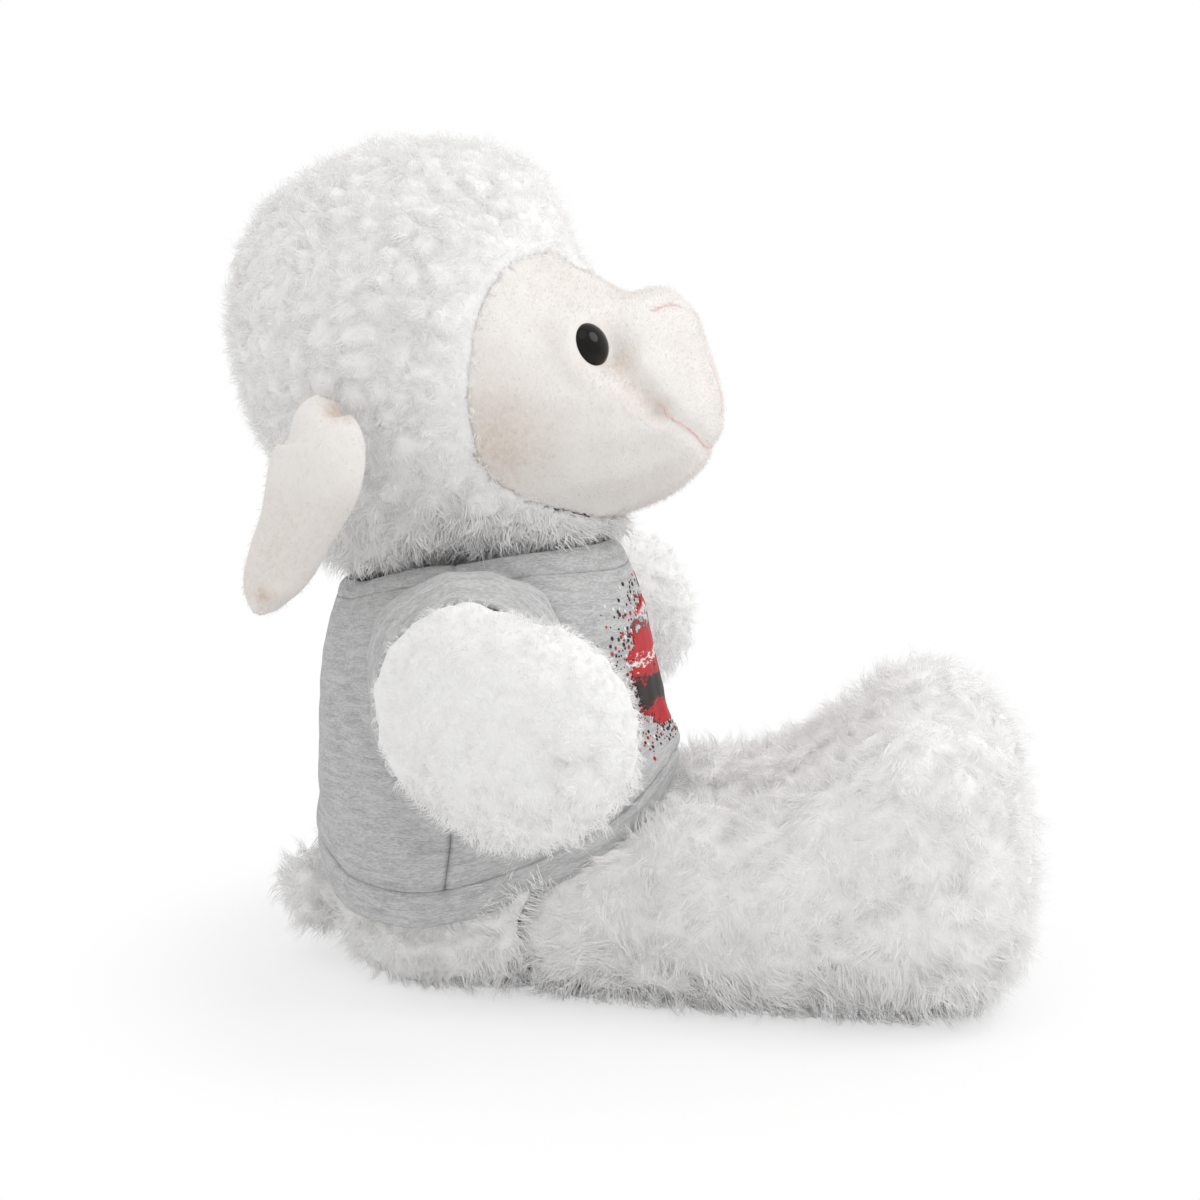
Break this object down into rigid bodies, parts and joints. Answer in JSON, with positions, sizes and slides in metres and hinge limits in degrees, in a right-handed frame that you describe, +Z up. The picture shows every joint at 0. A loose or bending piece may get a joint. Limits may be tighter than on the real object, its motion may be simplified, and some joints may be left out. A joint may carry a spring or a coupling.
{
  "type": "plush sheep",
  "caption": "Sitting plush sheep with a curly fleece, short-pile face, drooping ears and a knitted tee; head, arms, legs, ears and tail move.",
  "frame": {"origin": "under the middle of the toy's bounding box, on the surface it sits on", "axes": "+Z up, +X the way the sheep looks, +Y its left side"},
  "size_m": [0.1838, 0.181, 0.1952],
  "materials": {
    "white_fleece": "long curly pile",
    "cream_plush": "short pile",
    "grey_knit": "heather jersey knit",
    "fibre_filling": "loose polyester fibre, hidden",
    "pellet_pouch": "woven bag of pellets, hidden",
    "eye_black": "polished black",
    "washer_plastic": "moulded, hidden",
    "pink_thread": "embroidery thread",
    "red_print": "screen print film"
  },
  "bodies": {
    "torso": {"body_shell": "white_fleece", "body_filling": "fibre_filling", "seat_pouch": "pellet_pouch", "tee_front": "grey_knit", "tee_back": "grey_knit", "neckband": "grey_knit", "hem_band": "grey_knit", "chest_print": "red_print"},
    "neck": {"neck_wad": "fibre_filling"},
    "head": {"head_fleece": "white_fleece", "face_panel": "cream_plush", "head_filling": "fibre_filling", "nostril_stitch": "pink_thread", "nose_line_stitch": "pink_thread", "mouth_stitch": "pink_thread", "eye_left": "eye_black", "eye_right": "eye_black", "eye_washer_left": "washer_plastic", "eye_washer_right": "washer_plastic"},
    "tail": {"tail_shell": "white_fleece", "tail_filling": "fibre_filling"},
    "ear_left": {"ear_outer_left": "cream_plush", "ear_inner_left": "cream_plush"},
    "arm_left": {"arm_left_shell": "white_fleece", "arm_left_filling": "fibre_filling", "sleeve_left": "grey_knit"},
    "leg_left": {"leg_left_shell": "white_fleece", "leg_left_filling": "fibre_filling"},
    "ear_right": {"ear_outer_right": "cream_plush", "ear_inner_right": "cream_plush"},
    "arm_right": {"arm_right_shell": "white_fleece", "arm_right_filling": "fibre_filling", "sleeve_right": "grey_knit"},
    "leg_right": {"leg_right_shell": "white_fleece", "leg_right_filling": "fibre_filling"}
  },
  "joints": [
    {"name": "head_turn", "type": "hinge", "parent": "torso", "child": "neck", "pos_m": [-0.04117, 0, 0.0955], "axis": [0, 0, 1], "range_deg": [-25, 25], "stiffness_Nm_per_rad": 0.3},
    {"name": "head_nod", "type": "hinge", "parent": "neck", "child": "head", "pos_m": [-0.04117, 0, 0.0955], "axis": [0, 1, 0], "range_deg": [-8, 8], "stiffness_Nm_per_rad": 0.6},
    {"name": "shoulder_lift_left", "type": "hinge", "parent": "torso", "child": "arm_left", "pos_m": [-0.03617, 0.039, 0.0735], "axis": [1, 0, 0], "range_deg": [-15, 40], "stiffness_Nm_per_rad": 0.15},
    {"name": "hip_lift_left", "type": "hinge", "parent": "torso", "child": "leg_left", "pos_m": [-0.00417, 0.025, 0.0188], "axis": [0, -1, 0], "range_deg": [-45, 12]},
    {"name": "ear_flap_left", "type": "hinge", "parent": "head", "child": "ear_left", "pos_m": [-0.06115, 0.04565, 0.13892], "axis": [1, 0, 0], "range_deg": [0, 75]},
    {"name": "shoulder_lift_right", "type": "hinge", "parent": "torso", "child": "arm_right", "pos_m": [-0.03617, -0.039, 0.0735], "axis": [-1, 0, 0], "range_deg": [-15, 40], "stiffness_Nm_per_rad": 0.15},
    {"name": "hip_lift_right", "type": "hinge", "parent": "torso", "child": "leg_right", "pos_m": [-0.00417, -0.025, 0.0188], "axis": [0, -1, 0], "range_deg": [-45, 12]},
    {"name": "ear_flap_right", "type": "hinge", "parent": "head", "child": "ear_right", "pos_m": [-0.06115, -0.0457, 0.13892], "axis": [-1, 0, 0], "range_deg": [0, 75]},
    {"name": "tail_wag", "type": "hinge", "parent": "torso", "child": "tail", "pos_m": [-0.07167, 0, 0.0165], "axis": [0, 0, 1], "range_deg": [-25, 25], "stiffness_Nm_per_rad": 0.01}
  ]
}
